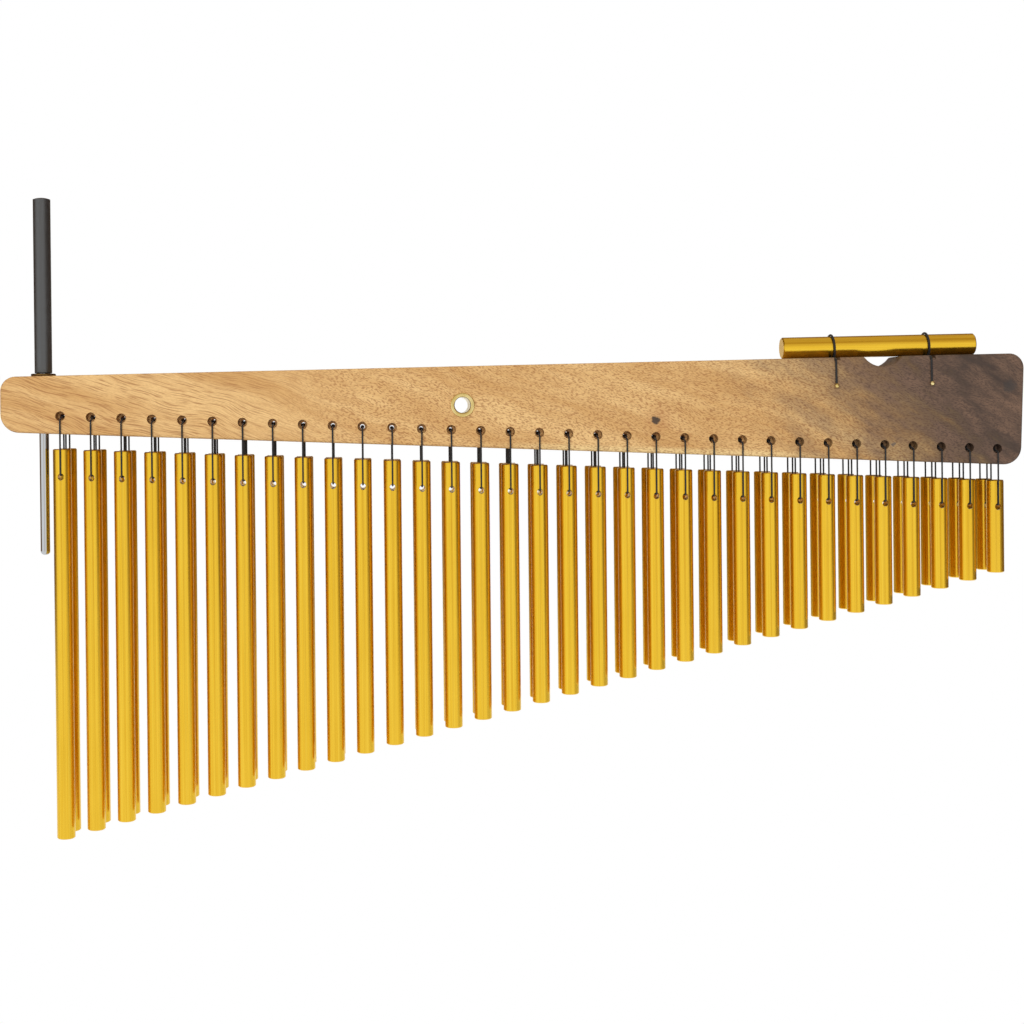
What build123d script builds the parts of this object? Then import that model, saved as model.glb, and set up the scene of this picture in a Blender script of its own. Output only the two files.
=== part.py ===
from build123d import *
import os

os.makedirs("parts", exist_ok=True)

# Bar chimes: two rows of tuned bars hang on cord loops from a tapered wooden beam.
# Sizes are in millimetres. The origin is the centre of the mounting eyelet, half way through the beam.
# +X runs along the beam towards the short bars, +Y points from the front face to the rear, +Z is up.

# Row of bars
bar_count = 33
bar_pitch = 16.0
bar_diameter = 9.5
longest_bar = 208.0
shortest_bar = 51.6
bar_end_chamfer = 0.5
bar_hole_diameter = 3.2
bar_hole_below_top = 14.8
bar_drop = 17.5

# Cord loops that carry the bars
cord_diameter = 1.0
cord_clearance = 0.3
bar_seat_clearance = 0.1

# Beam
beam_thickness = 26.6
rail_thickness = 9.3
eyelet_to_first_hole = 214.2
beater_to_first_hole = 10.9
beater_to_left_end = 20.4
last_hole_to_right_end = 16.1
right_end_undercut = 2.4
left_top_above_eyelet = 17.3
right_top_above_eyelet = 25.9
left_bottom_below_eyelet = 12.1
right_bottom_below_eyelet = 36.5
left_top_corner = 8.0
right_top_corner = 8.0
right_bottom_corner = 10.0
left_bottom_corner = 10.0
edge_rounding = 1.3

# Cord holes of the beam
first_hole_above_edge = 9.6
last_hole_above_edge = 8.6
cord_hole_diameter = 2.6
counterbore_diameter = 5.2
counterbore_depth = 7.0
groove_above_holes = 3.5
groove_past_holes = 3.5

# Brass eyelets
eyelet_bore = 8.6
eyelet_wall = 0.7
eyelet_flange_diameter = 13.1
eyelet_flange_thickness = 1.4
eyelet_mouth_radius = 0.9
eyelet_joint_gap = 0.1
beater_eyelet_depth = 9.0
fit_clearance = 0.05

# Beater
rod_diameter = 5.0
rod_running_clearance = 0.3
rod_below_grip = 97.8
rod_inside_grip = 80.0
grip_diameter = 9.2
grip_length = 95.0
grip_dome = 1.9
grip_seat_gap = 0.2

# Top bar, its cords and its sound notch
top_bar_diameter = 12.0
top_bar_length = 110.0
top_bar_to_right_end = 79.5
top_bar_chamfer = 0.6
notch_to_right_end = 80.5
notch_radius = 13.0
notch_depth = 5.6
notch_corner = 2.0
top_cord_diameter = 1.3
top_cord_spacing = 53.9
top_cord_gap = 0.7
cord_seat_clearance = 0.1
cord_slot_depth = 1.4

# Pins of the top bar's cords
pin_below_top = 15.6
pin_head_diameter = 2.6
pin_head_height = 1.2
pin_shank_diameter = 1.2
pin_depth = 8.0

# Places along the beam
first_hole_x = -eyelet_to_first_hole
last_hole_x = first_hole_x + (bar_count - 1) * bar_pitch
beater_x = first_hole_x - beater_to_first_hole
left_end_x = beater_x - beater_to_left_end
right_end_x = last_hole_x + last_hole_to_right_end
top_bar_x = right_end_x - top_bar_to_right_end
notch_x = right_end_x - notch_to_right_end
front_y = -beam_thickness / 2
rear_y = beam_thickness / 2


def between(x, left_x, left_z, right_x, right_z):
    """Height at x on the straight line from one point to another."""
    return left_z + (x - left_x) / (right_x - left_x) * (right_z - left_z)


def top_edge(x):
    return between(x, left_end_x, left_top_above_eyelet, right_end_x, right_top_above_eyelet)


def bottom_edge(x):
    return between(x, left_end_x, -left_bottom_below_eyelet, right_end_x, -right_bottom_below_eyelet)


def hole_row(x):
    first_z = bottom_edge(first_hole_x) + first_hole_above_edge
    last_z = bottom_edge(last_hole_x) + last_hole_above_edge
    return between(x, first_hole_x, first_z, last_hole_x, last_z)


hole_places = []
for number in range(bar_count):
    hole_x = first_hole_x + number * bar_pitch
    hole_places.append((hole_x, hole_row(hole_x)))

# Frame of the sloping top edge: x along the edge, y up from it, z towards the front
edge_direction = (right_end_x - left_end_x, 0, right_top_above_eyelet - left_top_above_eyelet)
top_frame = Plane(origin=(top_bar_x, 0, top_edge(top_bar_x)), x_dir=edge_direction, z_dir=(0, -1, 0))

# Cords of the top bar: a slot in the top edge takes the two runs that pass under the bar
top_cord_radius = top_cord_diameter / 2
cord_step = top_cord_diameter + top_cord_gap
slot_width = cord_step + top_cord_diameter + 2 * cord_seat_clearance
under_bar_y = -cord_slot_depth + cord_seat_clearance + top_cord_radius
wrap_radius = top_bar_diameter / 2 + cord_seat_clearance + top_cord_radius
strand_z = beam_thickness / 2 + cord_seat_clearance + top_cord_radius
strand_end_y = -pin_below_top + pin_shank_diameter / 2 + cord_seat_clearance
top_cord_places = {"left": -top_cord_spacing / 2, "right": top_cord_spacing / 2}
pin_places = []
for wrap_x in top_cord_places.values():
    pin_places.append((wrap_x - cord_step / 2, -pin_below_top, 1))
    pin_places.append((wrap_x + cord_step / 2, -pin_below_top, -1))

# Eyelet and beater fits
barrel_diameter = eyelet_bore + 2 * eyelet_wall
barrel_hole_diameter = barrel_diameter + 2 * fit_clearance
rod_hole_diameter = rod_diameter + 2 * rod_running_clearance
pin_hole_diameter = pin_shank_diameter + 2 * fit_clearance
beater_seat_z = top_edge(beater_x + eyelet_flange_diameter / 2)
grip_base_z = beater_seat_z + eyelet_flange_thickness + grip_seat_gap
grip_top_z = grip_base_z + grip_length
rod_bottom_z = grip_base_z - rod_below_grip

# Bars hang under the middle of each side rail
bar_row_y = beam_thickness / 2 - rail_thickness / 2
loop_half_width = max(rail_thickness, bar_diameter) / 2 + cord_clearance + cord_diameter / 2
loop_outer_y = -bar_row_y - loop_half_width
loop_inner_y = -bar_row_y + loop_half_width
loop_top = -(cord_hole_diameter / 2 - cord_diameter / 2 - cord_clearance)
loop_lip = -(counterbore_diameter / 2 - cord_diameter / 2 - cord_clearance)
bar_hole_drop = bar_drop + bar_hole_below_top
loop_bottom = -bar_hole_drop + bar_hole_diameter / 2 - cord_diameter / 2 - bar_seat_clearance

# Tapered beam
beam_corners = [
    (left_end_x, left_top_above_eyelet),
    (right_end_x, right_top_above_eyelet),
    (right_end_x - right_end_undercut, -right_bottom_below_eyelet),
    (left_end_x, -left_bottom_below_eyelet),
]
beam_radii = [left_top_corner, right_top_corner, right_bottom_corner, left_bottom_corner]
groove_start = first_hole_x - groove_past_holes
groove_end = last_hole_x + groove_past_holes
below_beam = -2 * right_bottom_below_eyelet
slot_floor_end = beam_thickness / 2 - edge_rounding
clear_of_beam = beam_thickness

with BuildPart() as beam:
    with BuildSketch(Plane.XZ):
        with BuildLine():
            FilletPolyline(*beam_corners, radius=beam_radii, close=True)
        make_face()
        with Locations((notch_x, top_edge(notch_x) - notch_depth + notch_radius)):
            Circle(notch_radius, mode=Mode.SUBTRACT)
        notch_corners = vertices().sort_by_distance((notch_x, top_edge(notch_x)))[0:2]
        fillet(notch_corners, radius=notch_corner)
    extrude(amount=beam_thickness / 2, both=True)
    faces_along_y = beam.faces().sort_by(Axis.Y)
    fillet(faces_along_y[0].edges() + faces_along_y[-1].edges(), radius=edge_rounding)

    # Groove in the underside that leaves a rail on each side
    with BuildSketch(Plane.XZ):
        with BuildLine():
            Polyline(
                (groove_start, hole_row(groove_start) + groove_above_holes),
                (groove_end, hole_row(groove_end) + groove_above_holes),
                (groove_end, below_beam),
                (groove_start, below_beam),
                close=True,
            )
        make_face()
    extrude(amount=beam_thickness / 2 - rail_thickness, both=True, mode=Mode.SUBTRACT)

    # Cord holes, counterbored from the front and from the rear
    with BuildSketch(Plane.XZ):
        with Locations(*hole_places):
            Circle(cord_hole_diameter / 2)
    extrude(amount=beam_thickness, both=True, mode=Mode.SUBTRACT)
    with BuildSketch(Plane.XZ.offset(-front_y - counterbore_depth)):
        with Locations(*hole_places):
            Circle(counterbore_diameter / 2)
    extrude(amount=2 * counterbore_depth, mode=Mode.SUBTRACT)
    with BuildSketch(Plane.XZ.offset(-rear_y + counterbore_depth)):
        with Locations(*hole_places):
            Circle(counterbore_diameter / 2)
    extrude(amount=-2 * counterbore_depth, mode=Mode.SUBTRACT)

    # Hole of the mounting eyelet
    with BuildSketch(Plane.XZ):
        Circle(barrel_hole_diameter / 2)
    extrude(amount=beam_thickness, both=True, mode=Mode.SUBTRACT)

    # Hole of the beater, widened at the top for its eyelet
    with BuildSketch(Plane.XY.offset(below_beam)):
        with Locations((beater_x, 0)):
            Circle(rod_hole_diameter / 2)
    extrude(amount=beater_seat_z - below_beam, mode=Mode.SUBTRACT)
    with BuildSketch(Plane.XY.offset(beater_seat_z - beater_eyelet_depth - fit_clearance)):
        with Locations((beater_x, 0)):
            Circle(barrel_hole_diameter / 2)
    extrude(amount=2 * beater_eyelet_depth, mode=Mode.SUBTRACT)

    # Slots across the top edge for the cords of the top bar, with rounded lips
    for wrap_x in top_cord_places.values():
        slot_side = Plane(origin=top_frame.from_local_coords((wrap_x, 0, 0)), x_dir=(0, 1, 0), z_dir=edge_direction)
        with BuildSketch(slot_side):
            with BuildLine():
                floor = Line((-slot_floor_end, -cord_slot_depth), (slot_floor_end, -cord_slot_depth))
                rear_lip = JernArc(floor @ 1, floor % 1, edge_rounding, -90)
                front_lip = JernArc(floor @ 0, -(floor % 0), edge_rounding, 90)
                Polyline(
                    rear_lip @ 1,
                    (clear_of_beam, (rear_lip @ 1).Y),
                    (clear_of_beam, cord_slot_depth),
                    (-clear_of_beam, cord_slot_depth),
                    (-clear_of_beam, (front_lip @ 1).Y),
                    front_lip @ 1,
                )
            make_face()
        extrude(amount=slot_width / 2, both=True, mode=Mode.SUBTRACT)

    # Pin holes in both faces
    for pin_x, pin_y, side in pin_places:
        with BuildSketch(top_frame.offset(side * beam_thickness / 2)):
            with Locations((pin_x, pin_y)):
                Circle(pin_hole_diameter / 2)
        extrude(amount=-side * (pin_depth + fit_clearance), mode=Mode.SUBTRACT)
beam.part.label = "beam"
export_step(beam.part, "parts/beam.step")


def make_eyelet(seat, barrel_depth, label):
    """A rolled eyelet: its flange sits at y = 0 of the seat plane and its barrel reaches down from there."""
    with BuildPart() as eyelet:
        with BuildSketch(seat):
            with BuildLine():
                Polyline(
                    (eyelet_bore / 2, -barrel_depth),
                    (barrel_diameter / 2, -barrel_depth),
                    (barrel_diameter / 2, 0),
                    (eyelet_flange_diameter / 2, 0),
                    (eyelet_flange_diameter / 2, eyelet_flange_thickness),
                    (eyelet_bore / 2, eyelet_flange_thickness),
                    close=True,
                )
            make_face()
            flange_rim = vertices().group_by(Axis.X)[-1]
            fillet(flange_rim, radius=0.45 * eyelet_flange_thickness)
            mouth = vertices().group_by(Axis.Y)[-1].sort_by(Axis.X)[0]
            fillet(mouth, radius=eyelet_mouth_radius)
        revolve(axis=Axis(seat.origin, seat.y_dir))
    eyelet.part.label = label
    export_step(eyelet.part, f"parts/{label}.step")


mount_barrel = beam_thickness / 2 - eyelet_joint_gap / 2
make_eyelet(Plane(origin=(0, front_y, 0), x_dir=(1, 0, 0), z_dir=(0, 0, -1)), mount_barrel, "eyelet_front")
make_eyelet(Plane(origin=(0, rear_y, 0), x_dir=(1, 0, 0), z_dir=(0, 0, 1)), mount_barrel, "eyelet_rear")
beater_seat = Plane(origin=(beater_x, 0, beater_seat_z), x_dir=(1, 0, 0), z_dir=(0, -1, 0))
make_eyelet(beater_seat, beater_eyelet_depth, "beater_eyelet")

# Beater rod with a rounded lower end
with BuildPart() as beater_rod:
    with BuildSketch(Plane.XY.offset(rod_bottom_z)):
        with Locations((beater_x, 0)):
            Circle(rod_diameter / 2)
    extrude(amount=rod_below_grip + rod_inside_grip)
    fillet(beater_rod.edges().group_by(Axis.Z)[0], radius=0.4 * rod_diameter)
beater_rod.part.label = "beater_rod"
export_step(beater_rod.part, "parts/beater_rod.step")


def dome_middle(half_width, rise):
    """From the rim of a dome to a point half way in, for an arc that is level on the axis."""
    ball_radius = (half_width**2 + rise**2) / (2 * rise)
    return Vector(-half_width / 2, rise - ball_radius + (ball_radius**2 - half_width**2 / 4) ** 0.5)


# Foam grip: a sleeve on the rod, closed by a low dome
grip_profile = Plane(origin=(beater_x, 0, grip_base_z), x_dir=(1, 0, 0), z_dir=(0, -1, 0))
grip_bore = rod_diameter / 2 + fit_clearance
with BuildPart() as beater_grip:
    with BuildSketch(grip_profile):
        with BuildLine():
            side_wall = Line((grip_diameter / 2, 0), (grip_diameter / 2, grip_length - grip_dome))
            dome = ThreePointArc(
                side_wall @ 1,
                side_wall @ 1 + dome_middle(grip_diameter / 2, grip_dome),
                (0, grip_length),
            )
            Polyline(
                dome @ 1,
                (0, rod_inside_grip + fit_clearance),
                (grip_bore, rod_inside_grip + fit_clearance),
                (grip_bore, 0),
                side_wall @ 0,
            )
        make_face()
    revolve(axis=Axis(grip_profile.origin, grip_profile.y_dir))
beater_grip.part.label = "beater_grip"
export_step(beater_grip.part, "parts/beater_grip.step")

# Thick bar on top of the beam
top_bar_axis = top_frame.from_local_coords((0, under_bar_y + wrap_radius, 0))
with BuildPart() as top_bar:
    with BuildSketch(Plane(origin=top_bar_axis, x_dir=(0, 1, 0), z_dir=edge_direction)):
        Circle(top_bar_diameter / 2)
    extrude(amount=top_bar_length / 2, both=True)
    chamfer(top_bar.edges().filter_by(GeomType.CIRCLE), length=top_bar_chamfer)
top_bar.part.label = "top_bar"
export_step(top_bar.part, "parts/top_bar.step")


def least_gap(route, diameter):
    """Smallest clear distance between stretches of a cord that lie half a turn or more apart."""
    steps = 240
    points = [route @ (step / steps) for step in range(steps + 1)]
    apart = int(steps * 3.1 * wrap_radius / route.length)
    nearest = min(
        (points[late] - points[early]).length
        for early in range(steps + 1)
        for late in range(early + apart, steps + 1)
    )
    return nearest - diameter


# Cords of the top bar: up the front face, once round the bar and down the rear face
for side_name, wrap_x in top_cord_places.items():
    front_x = wrap_x - cord_step / 2
    rear_x = wrap_x + cord_step / 2
    over_y = under_bar_y + 2 * wrap_radius
    half_turn = Vector(cord_step / 2, 2 * wrap_radius).length / 2
    bend_y = under_bar_y - edge_rounding - cord_seat_clearance - top_cord_radius
    with BuildPart() as top_bar_cord:
        with BuildLine(top_frame) as route:
            Line((front_x, strand_end_y, strand_z), (front_x, bend_y, strand_z))
            bend = (strand_z - slot_floor_end) * 0.7071
            ThreePointArc(
                (front_x, bend_y, strand_z),
                (front_x, bend_y + bend, slot_floor_end + bend),
                (front_x, under_bar_y, slot_floor_end),
            )
            Line((front_x, under_bar_y, slot_floor_end), (front_x, under_bar_y, 0))
            ThreePointArc(
                (front_x, under_bar_y, 0),
                ((front_x + wrap_x) / 2, under_bar_y + wrap_radius, -half_turn),
                (wrap_x, over_y, 0),
            )
            ThreePointArc(
                (wrap_x, over_y, 0),
                ((wrap_x + rear_x) / 2, under_bar_y + wrap_radius, half_turn),
                (rear_x, under_bar_y, 0),
            )
            Line((rear_x, under_bar_y, 0), (rear_x, under_bar_y, -slot_floor_end))
            ThreePointArc(
                (rear_x, under_bar_y, -slot_floor_end),
                (rear_x, bend_y + bend, -slot_floor_end - bend),
                (rear_x, bend_y, -strand_z),
            )
            Line((rear_x, bend_y, -strand_z), (rear_x, strand_end_y, -strand_z))
        with BuildSketch(Plane(origin=route.line @ 0, z_dir=route.line % 0)):
            Circle(top_cord_radius)
        sweep(path=route.wire())
    print(f"top bar cord {side_name}: least gap {least_gap(route.wire(), top_cord_diameter):.2f} mm")
    top_bar_cord.part.label = f"top_bar_cord_{side_name}"
    export_step(top_bar_cord.part, f"parts/top_bar_cord_{side_name}.step")

# Round-headed pins that hold those cords, two in each face
head_seat = top_cord_diameter + 2 * cord_seat_clearance
with BuildPart() as cord_pins:
    for pin_x, pin_y, side in pin_places:
        pin_origin = top_frame.from_local_coords((pin_x, pin_y, side * beam_thickness / 2))
        pin_profile = Plane(origin=pin_origin, x_dir=edge_direction, z_dir=top_frame.y_dir * -side)
        with BuildSketch(pin_profile):
            with BuildLine():
                shank = Polyline(
                    (0, -pin_depth),
                    (pin_shank_diameter / 2, -pin_depth),
                    (pin_shank_diameter / 2, head_seat),
                    (pin_head_diameter / 2, head_seat),
                )
                head = ThreePointArc(
                    shank @ 1,
                    shank @ 1 + dome_middle(pin_head_diameter / 2, pin_head_height),
                    (0, head_seat + pin_head_height),
                )
                Line(head @ 1, shank @ 0)
            make_face()
        revolve(axis=Axis(pin_profile.origin, pin_profile.y_dir))
cord_pins.part.label = "cord_pins"
export_step(cord_pins.part, "parts/cord_pins.step")

# Bars in pairs: a front bar on its loop, and the same behind it on the other rail
bar_step = (longest_bar - shortest_bar) / (bar_count - 1)
for number, (hole_x, hole_z) in enumerate(hole_places):
    bar_top = hole_z - bar_drop
    bar_length = longest_bar - number * bar_step
    with BuildPart() as bar_pair:
        with BuildSketch(Plane.XY.offset(bar_top)):
            with Locations((hole_x, -bar_row_y)):
                Circle(bar_diameter / 2)
        extrude(amount=-bar_length)
        chamfer(bar_pair.edges().filter_by(GeomType.CIRCLE), length=bar_end_chamfer)
        with BuildSketch(Plane.XZ):
            with Locations((hole_x, hole_z - bar_hole_drop)):
                Circle(bar_hole_diameter / 2)
        extrude(amount=beam_thickness, mode=Mode.SUBTRACT)
        with BuildLine(Plane(origin=(hole_x, 0, hole_z), x_dir=(0, 1, 0), z_dir=(1, 0, 0))) as loop:
            FilletPolyline(
                (loop_outer_y, loop_lip),
                (front_y + 0.8 * counterbore_depth, loop_top),
                (loop_inner_y, loop_top),
                (loop_inner_y, loop_bottom),
                (loop_outer_y, loop_bottom),
                radius=[cord_diameter, 5 * cord_diameter, cord_diameter, cord_diameter, cord_diameter],
                close=True,
            )
        with BuildSketch(Plane(origin=loop.wire() @ 0, z_dir=loop.wire() % 0)):
            Circle(cord_diameter / 2)
        sweep(path=loop.wire())
        mirror(about=Plane.XZ)
    bar_pair.part.label = f"bar_pair_{number + 1:02d}"
    export_step(bar_pair.part, f"parts/bar_pair_{number + 1:02d}.step")
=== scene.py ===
"""Looks of the bar chimes: gold bars on black cords under a wooden beam, a beater and a top bar."""

import math

import bmesh
import bpy
from mathutils import Matrix, Vector


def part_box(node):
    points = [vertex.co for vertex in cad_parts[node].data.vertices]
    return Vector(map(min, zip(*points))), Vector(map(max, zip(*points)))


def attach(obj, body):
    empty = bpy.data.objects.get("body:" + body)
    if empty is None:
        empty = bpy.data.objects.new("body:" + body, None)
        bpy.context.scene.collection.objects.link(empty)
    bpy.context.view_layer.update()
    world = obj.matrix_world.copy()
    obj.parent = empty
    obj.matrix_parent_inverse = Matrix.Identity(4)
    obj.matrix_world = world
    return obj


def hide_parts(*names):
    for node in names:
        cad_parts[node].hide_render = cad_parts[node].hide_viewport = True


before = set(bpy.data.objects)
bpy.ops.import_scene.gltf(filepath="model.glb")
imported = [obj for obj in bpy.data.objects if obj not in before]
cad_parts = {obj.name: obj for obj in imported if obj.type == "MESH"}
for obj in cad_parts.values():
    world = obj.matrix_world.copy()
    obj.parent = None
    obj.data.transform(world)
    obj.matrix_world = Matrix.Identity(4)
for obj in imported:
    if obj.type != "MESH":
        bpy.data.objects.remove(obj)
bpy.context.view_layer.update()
scene = bpy.context.scene
MM = 0.001

# Camera at the photograph's view
CAMERA_PLACE = (-0.048135, -0.9240, -0.005679)
CAMERA_YAW = 0.0821345
CAMERA_PITCH = 0.0043060
CAMERA_ROLL = -0.0103172
CAMERA_LENS = 59.125
CAMERA_SHIFT_Y = -0.0877
CAMERA_SENSOR = 36
CAMERA_CLIP = 0.01

# Hanging bars and their cord loops, measured from the cord hole in the beam
PAIR_COUNT = 33
BAR_RADIUS = 4.75 * MM
BAR_CHAMFER = 0.5 * MM
BAR_ROW_Y = 8.65 * MM
BAR_DROP = 17.5 * MM
BAR_HOLE_BELOW_TOP = 14.8 * MM
BAR_HOLE_RADIUS = 1.6 * MM
BAR_SEGMENTS = 64
BAR_SHARP = 35
HOLE_BAND = 3.0 * MM
HOLE_FLARE = 0.3 * MM
HOLE_SEGMENTS = 32
CORD_RADIUS = 0.5 * MM
LOOP_OUTER_Y = -14.2 * MM
LOOP_KINK_Y = -7.7 * MM
LOOP_INNER_Y = -3.1 * MM
LOOP_LIP = -1.8 * MM
LOOP_TOP = -0.5 * MM
LOOP_BOTTOM = -31.3 * MM
LOOP_CORNER = 1.0 * MM
KNOT_START_Y = -7.0 * MM
KNOT_END_Y = -4.4 * MM
KNOT_Z = -0.2 * MM
KNOT_RADIUS = 0.55 * MM
KNOT_TURNS = 2
KNOT_STEPS = 16

# Cords of the top bar, measured from the bar's axis
TOP_BAR_SLOPE = 0.015374
TOP_CORD_RADIUS = 0.65 * MM
TOP_CORD_SPACING = 53.9 * MM
TOP_CORD_STEP = 2.0 * MM
WRAP_RADIUS = 6.75 * MM
STRAND_Y = 14.05 * MM
STRAND_BEND = 2.05 * MM
STRAND_END = -21.0 * MM
WRAP_STEPS = 96
BEND_STEPS = 12

# Wood: tilts of its grain, scales of its patterns, limits where they begin and end,
# and round spots, each with its middle, its radius and the width of its soft edge
GRAIN_TILT = math.radians(-18)
CLOUD_TILT = math.radians(-35)
SWAY_STRETCH = (1.0, 1.0, 1.6)
SWAY_REACH = (0.01, 0.01, 0.018)
BAND_SCALE = (10.0, 45.0, 85.0)
FIBRE_SCALE = (110.0, 900.0, 1700.0)
STREAK_SCALE = (70.0, 800.0, 2000.0)
DASH_SCALE = (620.0, 1500.0, 2500.0)
CLOUD_SCALE = (34.0, 40.0, 95.0)
FIBRE_FADE = (0.45, 0.8, 0.0, 0.5)
DARK_WANDER = 0.18
DARK_RISE = 0.7
DARK_LIMITS = (0.135, 0.275)
LONG_PORE_END = (-0.14, -0.03, 1.0, 0.0)
FRAY_REACH = (0.004, 0.0, 0.004)
WOOD_KNOT = ((0.1058, -0.0093), 1.5 * MM, 1.2 * MM)
KNOT_HALO = ((0.1075, -0.0088), 2.0 * MM, 9.0 * MM)
WOOD_STAIN = ((0.3050, 0.0075), 2.2 * MM, 2.5 * MM)
WOOD_FLECK = ((0.2386, -0.0243), 0.8 * MM, 0.8 * MM)

# Lower edge of the beam, where a pale strip of sapwood shows
BOTTOM_EDGE_SLOPE = -0.0436
BOTTOM_EDGE_Z = -0.0228
SAP_BAND = (1.5 * MM, 4.5 * MM, 0.6, 0.0)
SAP_START = (0.0, 0.06)
SAP_END = (0.15, 0.22, 1.0, 0.0)

# Marks drawn out along the gold bars, and the downward-facing part of a hole's rim, which is painted
# darker as shade
UPRIGHT_MARKS = (1500.0, 1500.0, 8.0)
LYING_MARKS = (8.0, 1500.0, 1500.0)
DOWNWARD_SHADE_LIMITS = (-0.25, 0.35, 1.0, 0.0)

# Foam grip of the beater
GRIP_BORE = 2.55 * MM
GRIP_BORE_DEPTH = 80.05 * MM
GRIP_DOME = 0.9 * MM
GRIP_TRIM = 0.5 * MM
GRIP_EDGE = 0.5 * MM
GRIP_EDGE_STEPS = 6
GRIP_RINGS = 24
GRIP_DOME_STEPS = 12
GRIP_SEGMENTS = 64
GRIP_SHARP = 50

# Braid of the cords
BRAID_LOBES = 3
BRAID_SIDES = 12
BRAID_DEPTH = 0.16
BRAID_STEP = 0.35 * MM
BRAID_PITCH = 3.0 * MM
BRAID_SHARP = 60

# Studio; the fades are spans of a direction, with the light at either end
WHITE = (1.0, 1.0, 1.0, 1.0)
FLOOR_Z = -0.75
FLOOR_HALF = 4.0
FLOOR_GREY = (190, 190, 190)
ROOM_LIGHT_LOW = 0.16
ROOM_LIGHT_HIGH = 0.72
ROOM_LIGHT_HEIGHTS = (-0.8, 0.8)
ROOM_SHADE = (0.165, 0.1, 0.06, 1.0)
SOFTBOX_RIM = (1.0, 0.72, 0.4, 1.0)
SOFTBOX_WAY = (-0.28, -0.95, -0.12)
SOFTBOX_EDGE = (0.2, 0.6)
SOFTBOX_UPPER_FADE = (0.08, 0.55, 1.0, 0.68)
SOFTBOX_LOWER_FADE = (-0.85, -0.55, 0.3, 1.0)
SOFTBOX_SEAM = (0.995, -0.1, 0.0)
SEAM_FADE = (0.0, 0.34, 0.74, 1.0)
OVERHEAD_FADE = (0.6, 0.9, 0.0, 0.5)
BACKDROP_FADE = (0.9, 1.0)
KEY_POWER = 24.5
KEY_SIZE = 1.4
KEY_PLACE = (-0.45, -1.8, 0.4)


def srgb(red, green, blue):
    """A colour as it looks on screen, 0 to 255, as linear values with alpha."""
    linear = []
    for value in (red, green, blue):
        v = value / 255
        linear.append(v / 12.92 if v <= 0.04045 else ((v + 0.055) / 1.055) ** 2.4)
    return (*linear, 1.0)


class Nodes:
    """Short calls that add nodes to one tree and link them."""

    def __init__(self, tree):
        self.tree = tree
        tree.nodes.clear()

    def add(self, kind, output, inputs, **settings):
        node = self.tree.nodes.new(kind)
        for name, value in settings.items():
            setattr(node, name, value)
        for key, value in inputs.items():
            if isinstance(value, bpy.types.NodeSocket):
                self.tree.links.new(value, node.inputs[key])
            else:
                node.inputs[key].default_value = value
        return node if output is None else node.outputs[output]

    def place(self):
        """Where the shaded point is, in metres of the piece's own frame."""
        return self.add("ShaderNodeTexCoord", "Object", {})

    def facing(self):
        """Which way the surface faces, in the piece's own frame."""
        return self.add("ShaderNodeTexCoord", "Normal", {})

    def direction(self):
        """Which way a ray that meets the world is going."""
        return self.add("ShaderNodeTexCoord", "Generated", {})

    def ray(self, kind):
        return self.add("ShaderNodeLightPath", kind, {})

    def math(self, operation, a, b=0.0):
        return self.add("ShaderNodeMath", 0, {0: a, 1: b}, operation=operation)

    def vector(self, operation, a, b):
        output = "Value" if operation in ("DOT_PRODUCT", "DISTANCE") else "Vector"
        return self.add("ShaderNodeVectorMath", output, {0: a, 1: b}, operation=operation)

    def turned(self, vector, angle):
        """The vector turned in the plane of the beam's face."""
        inputs = {"Vector": vector, "Axis": (0.0, 1.0, 0.0), "Angle": angle}
        return self.add("ShaderNodeVectorRotate", "Vector", inputs)

    def axis(self, vector, name):
        return self.add("ShaderNodeSeparateXYZ", name, {0: vector})

    def noise(self, vector, scale, detail=2.0, roughness=0.5, output="Fac"):
        inputs = {"Vector": vector, "Scale": scale, "Detail": detail, "Roughness": roughness}
        return self.add("ShaderNodeTexNoise", output, inputs)

    def cells(self, vector, scale):
        return self.add("ShaderNodeTexVoronoi", "Distance", {"Vector": vector, "Scale": scale})

    def span(self, value, low, high, to_low=0.0, to_high=1.0):
        """A smooth step of value between low and high."""
        inputs = {"Value": value, 1: low, 2: high, 3: to_low, 4: to_high}
        return self.add("ShaderNodeMapRange", 0, inputs, interpolation_type="SMOOTHSTEP")

    def mix(self, factor, a, b):
        inputs = {"Factor": factor, 6: a, 7: b}
        return self.add("ShaderNodeMix", 2, inputs, data_type="RGBA")

    def spot(self, place, centre, radius, soft):
        """One inside a round spot on the beam's faces, falling to zero at its soft edge."""
        flat = self.vector("MULTIPLY", place, (1.0, 0.0, 1.0))
        distance = self.vector("DISTANCE", flat, (centre[0], 0.0, centre[1]))
        return self.span(distance, radius, radius + soft, 1.0, 0.0)

    def bump(self, height, distance, strength=1.0):
        inputs = {"Height": height, "Distance": distance, "Strength": strength}
        return self.add("ShaderNodeBump", "Normal", inputs)

    def surface(self, **inputs):
        """A Principled surface with these inputs, wired to the material's output."""
        named = {name.replace("_", " "): value for name, value in inputs.items()}
        shader = self.add("ShaderNodeBsdfPrincipled", 0, named)
        self.add("ShaderNodeOutputMaterial", None, {0: shader})


def material(name):
    made = bpy.data.materials.new(name)
    made.use_nodes = True
    return made, Nodes(made.node_tree)


def gold_material(name, drawn):
    """Gold anodised aluminium, with fine marks drawn out along the bar."""
    made, n = material(name)
    along = n.vector("MULTIPLY", n.place(), drawn)
    marks = n.noise(along, 1.0, 3.0, 0.6)
    tint = n.noise(n.place(), 35.0, 2.0)
    deep = n.mix(tint, srgb(230, 182, 46), srgb(242, 196, 58))
    colour = n.mix(n.span(marks, 0.35, 0.7), deep, srgb(248, 206, 68))
    n.surface(
        Base_Color=colour,
        Metallic=1.0,
        Roughness=n.span(marks, 0.3, 0.7, 0.22, 0.3),
        Normal=n.bump(marks, 0.01 * MM, 0.5),
    )
    return made


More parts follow.
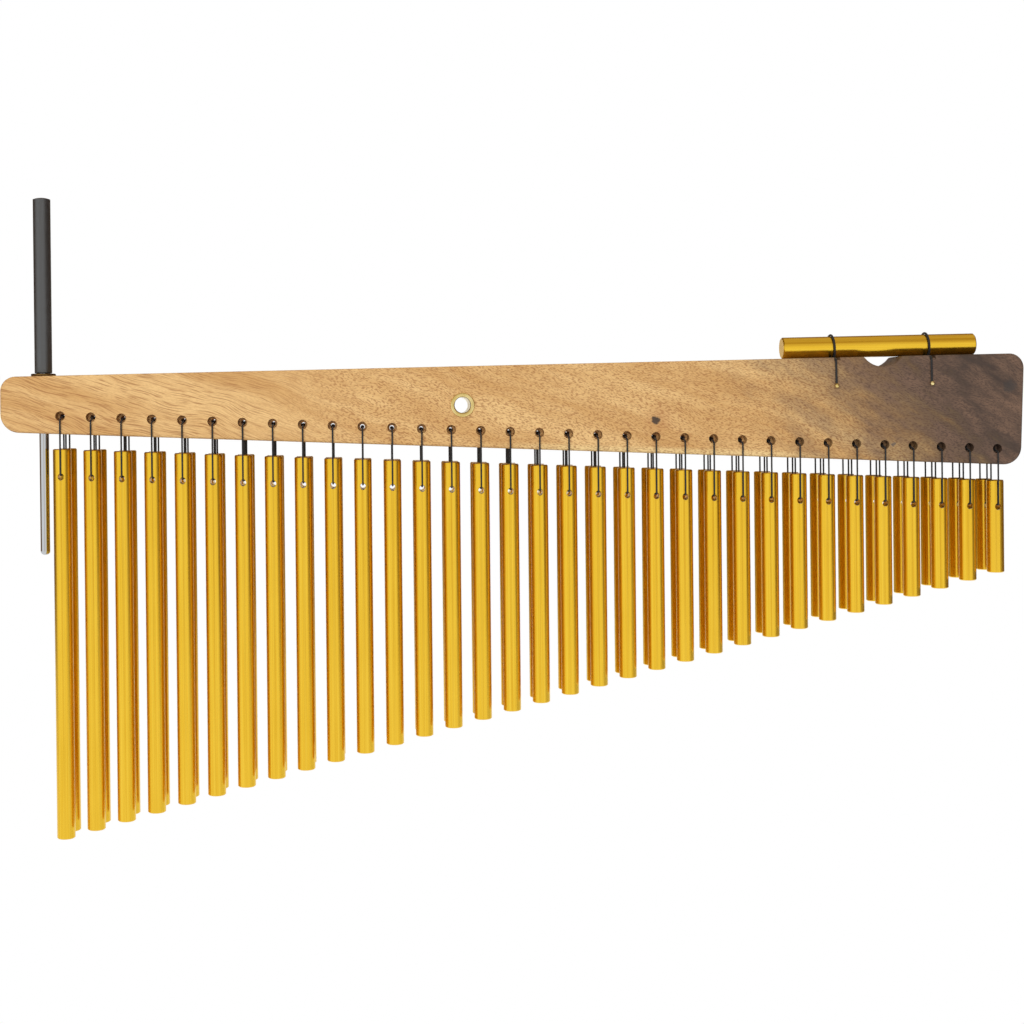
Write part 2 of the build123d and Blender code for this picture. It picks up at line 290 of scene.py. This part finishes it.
def bare_material():
    """Bare aluminium at the rim of a drilled hole, with painted shade where the rim faces down."""
    made, n = material("bare_aluminium")
    marks = n.noise(n.vector("MULTIPLY", n.place(), (2500.0, 200.0, 2500.0)), 1.0, 2.0)
    bright = n.mix(marks, srgb(196, 190, 178), srgb(232, 228, 218))
    # Painted shade: the rim turns dark brown where it faces down
    painted_shade = n.span(n.axis(n.facing(), "Z"), *DOWNWARD_SHADE_LIMITS)
    n.surface(
        Base_Color=n.mix(painted_shade, bright, srgb(84, 64, 36)),
        Metallic=1.0,
        Roughness=n.span(marks, 0.3, 0.7, 0.2, 0.32),
        Normal=n.bump(marks, 0.02 * MM, 0.5),
    )
    return made


def wood_material():
    """Oiled wood: tan with short brown pores, turning to mottled dark brown at the right end."""
    made, n = material("wood")
    place = n.place()
    sway = n.noise(n.vector("MULTIPLY", place, SWAY_STRETCH), 16.0, 2.0, output="Color")
    sway = n.vector("MULTIPLY", n.vector("SUBTRACT", sway, (0.5, 0.5, 0.5)), SWAY_REACH)
    grain = n.turned(n.vector("ADD", place, sway), GRAIN_TILT)

    bands = n.noise(n.vector("MULTIPLY", grain, BAND_SCALE), 1.0, 3.0, 0.55)
    fibre = n.noise(n.vector("MULTIPLY", grain, FIBRE_SCALE), 1.0, 3.0, 0.6)
    streaks = n.noise(n.vector("MULTIPLY", grain, STREAK_SCALE), 1.0, 2.0, 0.5)
    dashes = n.noise(n.vector("MULTIPLY", grain, DASH_SCALE), 1.0, 1.0, 0.4)
    cloud_place = n.vector("MULTIPLY", n.turned(place, CLOUD_TILT), CLOUD_SCALE)
    clouds = n.noise(cloud_place, 1.0, 5.0, 0.6)
    x = n.axis(place, "X")
    z = n.axis(place, "Z")

    tan = n.mix(n.span(bands, 0.3, 0.7), srgb(204, 158, 98), srgb(228, 188, 128))
    tan = n.mix(n.span(fibre, *FIBRE_FADE), tan, srgb(184, 132, 82))
    dark = n.mix(n.span(clouds, 0.3, 0.7), srgb(60, 49, 43), srgb(120, 93, 75))
    dark = n.mix(n.span(fibre, *FIBRE_FADE), dark, srgb(74, 61, 54))

    wander = n.math("MULTIPLY", n.math("SUBTRACT", clouds, 0.5), DARK_WANDER)
    rise = n.math("MULTIPLY", z, DARK_RISE)
    darkness = n.span(n.math("ADD", n.math("ADD", x, wander), rise), *DARK_LIMITS)
    edge_z = n.math("ADD", n.math("MULTIPLY", x, BOTTOM_EDGE_SLOPE), BOTTOM_EDGE_Z)
    sap = n.span(n.math("SUBTRACT", z, edge_z), *SAP_BAND)
    sap = n.math("MULTIPLY", sap, n.span(x, *SAP_START))
    sap = n.math("MULTIPLY", sap, n.span(x, *SAP_END))
    colour = n.mix(sap, n.mix(darkness, tan, dark), srgb(240, 212, 152))

    left = n.span(x, *LONG_PORE_END)
    long_pores = n.math("MULTIPLY", n.span(streaks, 0.48, 0.66, 0.0, 0.66), left)
    short_pores = n.span(dashes, 0.48, 0.63, 0.0, 0.62)
    short_pores = n.math("MULTIPLY", short_pores, n.span(left, 0.0, 1.0, 1.0, 0.25))
    pore_mask = n.math("MAXIMUM", long_pores, short_pores)
    colour = n.mix(pore_mask, colour, n.mix(darkness, srgb(146, 92, 50), srgb(66, 51, 44)))

    fray = n.noise(place, 420.0, 3.0, 0.6, output="Color")
    fray = n.vector("MULTIPLY", n.vector("SUBTRACT", fray, (0.5, 0.5, 0.5)), FRAY_REACH)
    ragged = n.vector("ADD", place, fray)
    knot = n.spot(ragged, *WOOD_KNOT)
    halo = n.spot(place, *KNOT_HALO)
    stain = n.spot(ragged, *WOOD_STAIN)
    fleck = n.spot(ragged, *WOOD_FLECK)
    colour = n.mix(n.math("MULTIPLY", halo, 0.35), colour, srgb(170, 112, 66))
    colour = n.mix(n.math("MULTIPLY", knot, 0.92), colour, srgb(54, 46, 42))
    colour = n.mix(n.math("MULTIPLY", stain, 0.6), colour, srgb(58, 54, 52))
    colour = n.mix(n.math("MULTIPLY", fleck, 0.7), colour, srgb(84, 78, 76))

    n.surface(
        Base_Color=colour,
        Roughness=n.span(fibre, 0.3, 0.8, 0.42, 0.6),
        Specular_IOR_Level=0.35,
        Normal=n.bump(n.math("SUBTRACT", fibre, pore_mask), 0.08 * MM, 0.6),
    )
    return made


def cord_material():
    """Black braided cord with a slight sheen."""
    made, n = material("cord")
    fuzz = n.noise(n.place(), 5200.0, 2.0)
    colour = n.mix(fuzz, srgb(12, 12, 13), srgb(34, 34, 36))
    n.surface(
        Base_Color=colour,
        Roughness=n.span(fuzz, 0.2, 0.8, 0.42, 0.62),
        Sheen_Weight=0.08,
        Normal=n.bump(fuzz, 0.06 * MM, 0.7),
    )
    return made


def brass_material(name, worn, bright):
    """Pressed brass with light handling marks."""
    made, n = material(name)
    marks = n.noise(n.place(), 700.0, 4.0, 0.6)
    wear = n.noise(n.place(), 140.0, 2.0)
    colour = n.mix(n.span(wear, 0.3, 0.7), worn, bright)
    n.surface(
        Base_Color=colour,
        Metallic=1.0,
        Roughness=n.span(marks, 0.3, 0.7, 0.2, 0.34),
        Normal=n.bump(marks, 0.02 * MM, 0.4),
    )
    return made


def steel_material():
    """Plated steel with faint marks along the rod."""
    made, n = material("steel")
    marks = n.noise(n.vector("MULTIPLY", n.place(), (1600.0, 1600.0, 30.0)), 1.0, 3.0)
    colour = n.mix(marks, srgb(178, 181, 184), srgb(212, 215, 218))
    n.surface(
        Base_Color=colour,
        Metallic=1.0,
        Roughness=n.span(marks, 0.3, 0.7, 0.04, 0.09),
        Normal=n.bump(marks, 0.01 * MM, 0.4),
    )
    return made


def foam_material():
    """Dark closed-cell foam with a fine matt skin."""
    made, n = material("foam")
    cells = n.cells(n.place(), 2600.0)
    soft = n.noise(n.place(), 260.0, 3.0)
    colour = n.mix(soft, srgb(18, 24, 28), srgb(28, 34, 38))
    n.surface(
        Base_Color=n.mix(n.span(cells, 0.0, 0.5, 0.35, 0.0), colour, srgb(14, 18, 20)),
        IOR=1.65,
        Specular_IOR_Level=1.0,
        Roughness=n.span(soft, 0.2, 0.8, 0.3, 0.4),
        Normal=n.bump(n.math("ADD", cells, soft), 0.12 * MM, 0.5),
    )
    return made


def lathe(profile, segments):
    """A mesh turned about Z from (radius, height) points; a radius of zero closes to a point."""
    bm = bmesh.new()
    rings = []
    for radius, height in profile:
        if radius == 0:
            rings.append([bm.verts.new((0.0, 0.0, height))] * segments)
            continue
        ring = []
        for step in range(segments):
            angle = 2 * math.pi * step / segments
            ring.append(bm.verts.new((radius * math.cos(angle), radius * math.sin(angle), height)))
        rings.append(ring)
    for lower, upper in zip(rings, rings[1:]):
        for step in range(segments):
            after = (step + 1) % segments
            corners = [lower[step], lower[after], upper[after], upper[step]]
            bm.faces.new(list(dict.fromkeys(corners)))
    bmesh.ops.recalc_face_normals(bm, faces=bm.faces)
    return bm


def to_mesh(bm, name):
    mesh = bpy.data.meshes.new(name)
    bm.to_mesh(mesh)
    bm.free()
    return mesh


def smooth(mesh, sharp_degrees):
    for face in mesh.polygons:
        face.use_smooth = True
    mesh.set_sharp_from_angle(angle=math.radians(sharp_degrees))


def piece(name, mesh, look, body, node, place=(0.0, 0.0, 0.0)):
    """Puts a finished mesh in the scene in a CAD node's stead, riding on its body."""
    if not mesh.materials:
        mesh.materials.append(look)
    made = bpy.data.objects.new(name, mesh)
    made.location = place
    scene.collection.objects.link(made)
    bpy.context.view_layer.update()
    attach(made, body)
    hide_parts(node)
    return made


def drilled(bm, name, look, cutter):
    """The mesh with the cutter's shape taken out of it."""
    blank = bpy.data.objects.new(name, to_mesh(bm, name))
    blank.data.materials.append(look)
    scene.collection.objects.link(blank)
    cut = blank.modifiers.new("drill", "BOOLEAN")
    cut.operation = "DIFFERENCE"
    cut.solver = "EXACT"
    cut.material_mode = "TRANSFER"
    cut.object = cutter
    depsgraph = bpy.context.evaluated_depsgraph_get()
    mesh = bpy.data.meshes.new_from_object(blank.evaluated_get(depsgraph))
    bpy.data.objects.remove(blank)
    return mesh


def rounded_route(corners, radius):
    """A closed polyline through the corners with each of them rounded off."""
    count = len(corners)
    route = []
    for index, corner in enumerate(corners):
        to_last = (corners[index - 1] - corner).normalized()
        to_next = (corners[(index + 1) % count] - corner).normalized()
        half = to_last.angle(to_next) / 2
        centre = corner + (to_last + to_next).normalized() * (radius / math.sin(half))
        start = corner + to_last * (radius / math.tan(half)) - centre
        sweep = math.pi - 2 * half
        turn_axis = to_next.cross(to_last)
        steps = max(2, int(sweep * radius / BRAID_STEP) + 1)
        for step in range(steps + 1):
            turn = Matrix.Rotation(sweep * step / steps, 3, turn_axis)
            route.append(centre + turn @ start)
    return route


def even_points(route, closed):
    """The route's points, spaced evenly about one braid step apart, and its length."""
    stops = route + [route[0]] if closed else route
    lengths = [(b - a).length for a, b in zip(stops, stops[1:])]
    total = sum(lengths)
    count = round(total / BRAID_STEP)
    points = []
    leg, walked = 0, 0.0
    for step in range(count + (0 if closed else 1)):
        goal = total * step / count
        while leg < len(lengths) - 1 and walked + lengths[leg] < goal:
            walked += lengths[leg]
            leg += 1
        share = (goal - walked) / lengths[leg] if lengths[leg] > 0 else 0.0
        points.append(stops[leg].lerp(stops[leg + 1], min(max(share, 0.0), 1.0)))
    return points, total


def braided(name, route, radius, closed):
    """A cord of twisted strands along a route."""
    points, total = even_points(route, closed)
    count = len(points)
    lobes_along = round(total / BRAID_PITCH * BRAID_LOBES) / BRAID_LOBES
    bm = bmesh.new()
    rings = []
    side = Vector((1.0, 0.0, 0.0))
    for index, point in enumerate(points):
        before = points[index - 1] if closed or index > 0 else point
        after = points[(index + 1) % count] if closed or index < count - 1 else point
        along = (after - before).normalized()
        side = (side - along * side.dot(along)).normalized()
        up = along.cross(side)
        twist = 2 * math.pi * lobes_along * index / count
        ring = []
        for step in range(BRAID_SIDES):
            angle = 2 * math.pi * step / BRAID_SIDES
            lobe = 0.5 + 0.5 * math.cos(BRAID_LOBES * (angle - twist))
            reach = radius * (1 - BRAID_DEPTH * (1 - lobe))
            outward = side * math.cos(angle) + up * math.sin(angle)
            ring.append(bm.verts.new(point + outward * reach))
        rings.append(ring)
    pairs = list(zip(rings, rings[1:]))
    if closed:
        pairs.append((rings[-1], rings[0]))
    else:
        bm.faces.new(rings[0])
        bm.faces.new(rings[-1])
    for last, following in pairs:
        for step in range(BRAID_SIDES):
            after = (step + 1) % BRAID_SIDES
            bm.faces.new((last[step], last[after], following[after], following[step]))
    bmesh.ops.recalc_face_normals(bm, faces=bm.faces)
    mesh = to_mesh(bm, name)
    smooth(mesh, BRAID_SHARP)
    return mesh


def bar_profile(bottom, top):
    """Turned profile of a hanging bar, with rings close above and below its cross hole."""
    hole = top - BAR_HOLE_BELOW_TOP
    inset = BAR_RADIUS - BAR_CHAMFER
    return [
        (0, bottom),
        (inset, bottom),
        (BAR_RADIUS, bottom + BAR_CHAMFER),
        (BAR_RADIUS, hole - HOLE_BAND),
        (BAR_RADIUS, hole + HOLE_BAND),
        (BAR_RADIUS, top - BAR_CHAMFER),
        (inset, top),
        (0, top),
    ]


def hole_cutter(bare, gold):
    """A drill along Y through a bar, with a bare flared rim at both ends and a gold wall between."""
    far = 2 * BAR_RADIUS
    flare = BAR_HOLE_RADIUS + HOLE_FLARE + far - BAR_RADIUS
    profile = [(0, -far), (flare, -far), (BAR_HOLE_RADIUS, HOLE_FLARE - BAR_RADIUS)]
    profile += [(BAR_HOLE_RADIUS, BAR_RADIUS - HOLE_FLARE), (flare, far), (0, far)]
    bm = lathe(profile, HOLE_SEGMENTS)
    bmesh.ops.rotate(bm, verts=bm.verts, matrix=Matrix.Rotation(math.pi / 2, 3, "X"))
    mesh = to_mesh(bm, "drill")
    mesh.materials.append(bare)
    mesh.materials.append(gold)
    for face in mesh.polygons:
        if abs(face.center.y) < BAR_RADIUS - HOLE_FLARE:
            face.material_index = 1
    cutter = bpy.data.objects.new("drill", mesh)
    scene.collection.objects.link(cutter)
    return cutter


def knot_points():
    """The turns of cord that stop a loop in its hole in the beam."""
    steps = KNOT_STEPS * KNOT_TURNS
    points = []
    for step in range(steps + 1):
        angle = 2 * math.pi * KNOT_TURNS * step / steps
        y = KNOT_START_Y + (KNOT_END_Y - KNOT_START_Y) * step / steps
        z = KNOT_Z - KNOT_RADIUS * math.cos(angle)
        points.append(Vector((KNOT_RADIUS * math.sin(angle), y, z)))
    return points


def loop_mesh():
    """The cord loop of a front bar, about its cord hole in the beam."""
    corners = [
        Vector((0, LOOP_OUTER_Y, LOOP_BOTTOM)),
        Vector((0, LOOP_OUTER_Y, LOOP_LIP)),
        Vector((0, LOOP_KINK_Y, LOOP_TOP)),
        Vector((0, LOOP_INNER_Y, LOOP_TOP)),
        Vector((0, LOOP_INNER_Y, LOOP_BOTTOM)),
    ]
    route = rounded_route(corners, LOOP_CORNER)
    past_kink = next(
        index
        for index, point in enumerate(route)
        if point.z > LOOP_BOTTOM / 2 and point.y > KNOT_END_Y
    )
    route[past_kink:past_kink] = knot_points()
    return braided("bar_cord", route, CORD_RADIUS, True)


def mirrored(mesh, name):
    """A copy of a mesh on the other side of the beam's middle plane."""
    bm = bmesh.new()
    bm.from_mesh(mesh)
    bmesh.ops.scale(bm, vec=(1, -1, 1), verts=bm.verts)
    bmesh.ops.reverse_faces(bm, faces=bm.faces)
    copy = to_mesh(bm, name)
    smooth(copy, BRAID_SHARP)
    return copy


def hang_bars(gold, bare, black):
    """Sixty-six drilled bars in two rows, each on its own cord loop."""
    cutter = hole_cutter(bare, gold)
    front_loop = loop_mesh()
    rear_loop = mirrored(front_loop, "bar_cord_rear")
    for number in range(1, PAIR_COUNT + 1):
        node = f"bar_pair_{number:02d}"
        low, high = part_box(node)
        x = (low.x + high.x) / 2
        hole_z = high.z - LOOP_TOP - CORD_RADIUS
        top = hole_z - BAR_DROP
        cutter.location = (x, 0, top - BAR_HOLE_BELOW_TOP)
        bm = lathe(bar_profile(low.z, top), BAR_SEGMENTS)
        bmesh.ops.translate(bm, verts=bm.verts, vec=(x, 0, 0))
        mesh = drilled(bm, f"bar_{number:02d}", gold, cutter)
        smooth(mesh, BAR_SHARP)
        for row, side, loop in (("front", -1, front_loop), ("rear", 1, rear_loop)):
            place = (0, side * BAR_ROW_Y, 0)
            piece(f"{row}_bar_{number:02d}", mesh, gold, node, node, place)
            piece(f"{row}_cord_{number:02d}", loop, black, node, node, (x, 0, hole_z))
    bpy.data.objects.remove(cutter)


def top_cord_route(wrap_x):
    """Up the front face, once round the top bar and down the rear face, about the bar's middle."""
    front_x = wrap_x - TOP_CORD_STEP / 2
    rear_x = wrap_x + TOP_CORD_STEP / 2
    bend_y = STRAND_Y - STRAND_BEND
    bend_z = -WRAP_RADIUS - STRAND_BEND
    route = [Vector((front_x, -STRAND_Y, STRAND_END))]
    for step in range(BEND_STEPS + 1):
        angle = math.pi / 2 * step / BEND_STEPS
        y = -bend_y - STRAND_BEND * math.cos(angle)
        route.append(Vector((front_x, y, bend_z + STRAND_BEND * math.sin(angle))))
    for step in range(WRAP_STEPS + 1):
        angle = 2 * math.pi * step / WRAP_STEPS
        x = front_x + (rear_x - front_x) * step / WRAP_STEPS
        route.append(Vector((x, WRAP_RADIUS * math.sin(angle), -WRAP_RADIUS * math.cos(angle))))
    for step in range(BEND_STEPS + 1):
        angle = math.pi / 2 * (1 - step / BEND_STEPS)
        y = bend_y + STRAND_BEND * math.cos(angle)
        route.append(Vector((rear_x, y, bend_z + STRAND_BEND * math.sin(angle))))
    route.append(Vector((rear_x, STRAND_Y, STRAND_END)))
    return route


def tie_top_bar(black):
    """The two cords that hold the top bar."""
    low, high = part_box("top_bar")
    along = Vector((1.0, 0.0, TOP_BAR_SLOPE)).normalized()
    up = Vector((-along.z, 0.0, along.x))
    to_row = Matrix((along, (0, 1, 0), up)).transposed().to_4x4()
    to_row.translation = (low + high) / 2
    for side, wrap_x in (("left", -TOP_CORD_SPACING / 2), ("right", TOP_CORD_SPACING / 2)):
        route = [to_row @ point for point in top_cord_route(wrap_x)]
        node = f"top_bar_cord_{side}"
        cord = braided(node, route, TOP_CORD_RADIUS, False)
        piece(f"top_cord_{side}", cord, black, "frame", node)


def foam_grip(look):
    """The beater's foam sleeve, with a soft lower edge and a low dome."""
    low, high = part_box("beater_grip")
    radius = (high.x - low.x) / 2
    length = high.z - low.z - GRIP_TRIM
    profile = [
        (0, GRIP_BORE_DEPTH),
        (GRIP_BORE, GRIP_BORE_DEPTH),
        (GRIP_BORE, 0),
        (radius - GRIP_EDGE, 0),
    ]
    for step in range(1, GRIP_EDGE_STEPS + 1):
        angle = math.pi / 2 * step / GRIP_EDGE_STEPS
        edge_height = GRIP_EDGE * (1 - math.cos(angle))
        profile.append((radius - GRIP_EDGE * (1 - math.sin(angle)), edge_height))
    shoulder = length - GRIP_DOME
    for step in range(1, GRIP_RINGS + 1):
        profile.append((radius, GRIP_EDGE + (shoulder - GRIP_EDGE) * step / GRIP_RINGS))
    ball = (radius**2 + GRIP_DOME**2) / (2 * GRIP_DOME)
    for step in range(1, GRIP_DOME_STEPS):
        reach = radius * (1 - step / GRIP_DOME_STEPS)
        profile.append((reach, length - ball + math.sqrt(ball**2 - reach**2)))
    profile.append((0, length))
    bm = lathe(profile, GRIP_SEGMENTS)
    middle = (low + high) / 2
    bmesh.ops.translate(bm, verts=bm.verts, vec=(middle.x, middle.y, low.z))
    mesh = to_mesh(bm, "foam_grip")
    smooth(mesh, GRIP_SHARP)
    grip = piece("foam_grip", mesh, look, "beater", "beater_grip")


def dress(node, look):
    """Gives a CAD node that stays in view its finish."""
    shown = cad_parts[node]
    shown.data.materials.clear()
    shown.data.materials.append(look)


def place_camera():
    """A camera at the photograph's view, from its yaw, pitch and roll."""
    cy, sy = math.cos(CAMERA_YAW), math.sin(CAMERA_YAW)
    cp, sp = math.cos(CAMERA_PITCH), math.sin(CAMERA_PITCH)
    cr, sr = math.cos(CAMERA_ROLL), math.sin(CAMERA_ROLL)
    yaw = Matrix(((cy, -sy, 0), (sy, cy, 0), (0, 0, 1)))
    level = Matrix(((1, 0, 0), (0, 0, -1), (0, 1, 0)))
    pitch = Matrix(((1, 0, 0), (0, cp, -sp), (0, sp, cp)))
    roll = Matrix(((cr, -sr, 0), (sr, cr, 0), (0, 0, 1)))
    right, down, forward = roll @ pitch @ level @ yaw
    lens = bpy.data.cameras.new("camera")
    lens.sensor_fit = "HORIZONTAL"
    lens.sensor_width = CAMERA_SENSOR
    lens.lens = CAMERA_LENS
    lens.shift_y = CAMERA_SHIFT_Y
    lens.clip_start = CAMERA_CLIP
    camera = bpy.data.objects.new("camera", lens)
    turned = Matrix((right, -down, -forward)).transposed().to_4x4()
    turned.translation = CAMERA_PLACE
    camera.matrix_world = turned
    scene.collection.objects.link(camera)
    scene.camera = camera


def light_studio():
    """White surroundings, a soft room that metal reflects, a large key light and a floor."""
    world = bpy.data.worlds.new("studio")
    scene.world = world
    world.use_nodes = True
    n = Nodes(world.node_tree)
    way = n.direction()
    ahead = n.span(n.vector("DOT_PRODUCT", way, SOFTBOX_WAY), *SOFTBOX_EDGE)
    height = n.axis(way, "Z")
    above = n.span(height, *SOFTBOX_UPPER_FADE)
    below = n.span(height, *SOFTBOX_LOWER_FADE)
    aside = n.math("ABSOLUTE", n.vector("DOT_PRODUCT", way, SOFTBOX_SEAM))
    seam = n.span(aside, *SEAM_FADE)
    softbox = n.math("MULTIPLY", n.math("MULTIPLY", ahead, seam), n.math("MULTIPLY", above, below))
    overhead = n.span(height, *OVERHEAD_FADE)
    backdrop = n.span(n.axis(way, "Y"), *BACKDROP_FADE)
    lit = n.math("MAXIMUM", n.math("MAXIMUM", softbox, overhead), backdrop)
    room = n.mix(lit, ROOM_SHADE, n.mix(lit, SOFTBOX_RIM, WHITE))
    seen = n.math("MAXIMUM", n.ray("Is Camera Ray"), n.ray("Is Transmission Ray"))
    room_light = n.span(height, *ROOM_LIGHT_HEIGHTS, ROOM_LIGHT_LOW, ROOM_LIGHT_HIGH)
    level = n.math("MAXIMUM", seen, room_light)
    glossy = n.ray("Is Glossy Ray")
    colour = n.mix(glossy, WHITE, room)
    strength = n.math("MAXIMUM", glossy, level)
    background = n.add("ShaderNodeBackground", 0, {"Color": colour, "Strength": strength})
    n.add("ShaderNodeOutputWorld", None, {0: background})

    key = bpy.data.lights.new("key", "AREA")
    key.shape = "SQUARE"
    key.size = KEY_SIZE
    key.energy = KEY_POWER
    lamp = bpy.data.objects.new("key", key)
    lamp.location = KEY_PLACE
    lamp.rotation_euler = (-Vector(KEY_PLACE)).to_track_quat("-Z", "Y").to_euler()
    lamp.visible_glossy = False
    scene.collection.objects.link(lamp)

    made, n = material("floor")
    diffuse = n.add("ShaderNodeBsdfDiffuse", 0, {"Color": srgb(*FLOOR_GREY)})
    glow = n.add("ShaderNodeEmission", 0, {"Color": WHITE, "Strength": 1.0})
    bent = n.math("MAXIMUM", n.ray("Is Glossy Ray"), n.ray("Is Transmission Ray"))
    viewed = n.math("MAXIMUM", n.ray("Is Camera Ray"), bent)
    both = n.add("ShaderNodeMixShader", 0, {0: viewed, 1: diffuse, 2: glow})
    n.add("ShaderNodeOutputMaterial", None, {0: both})
    bm = bmesh.new()
    bmesh.ops.create_grid(bm, x_segments=1, y_segments=1, size=FLOOR_HALF)
    mesh = to_mesh(bm, "floor")
    mesh.materials.append(made)
    floor = bpy.data.objects.new("floor", mesh)
    floor.location = (0, 0, FLOOR_Z)
    scene.collection.objects.link(floor)


gold_upright = gold_material("gold_upright", UPRIGHT_MARKS)
gold_lying = gold_material("gold_lying", LYING_MARKS)
black_cord = cord_material()
brass = brass_material("brass", srgb(222, 198, 124), srgb(244, 226, 164))
# A darker copy of the brass, which is painted shade on the beater's eyelet under the grip
shaded_brass = brass_material("shaded_brass", srgb(92, 72, 44), srgb(138, 112, 68))

dress("beam", wood_material())
dress("top_bar", gold_lying)
dress("beater_rod", steel_material())
# The beater's eyelet gets the darker brass, which is painted shade
dress("beater_eyelet", shaded_brass)
for brass_node in ("eyelet_front", "eyelet_rear", "cord_pins"):
    dress(brass_node, brass)
hang_bars(gold_upright, bare_material(), black_cord)
tie_top_bar(black_cord)
foam_grip(foam_material())
place_camera()
light_studio()
scene.view_settings.view_transform = "Standard"
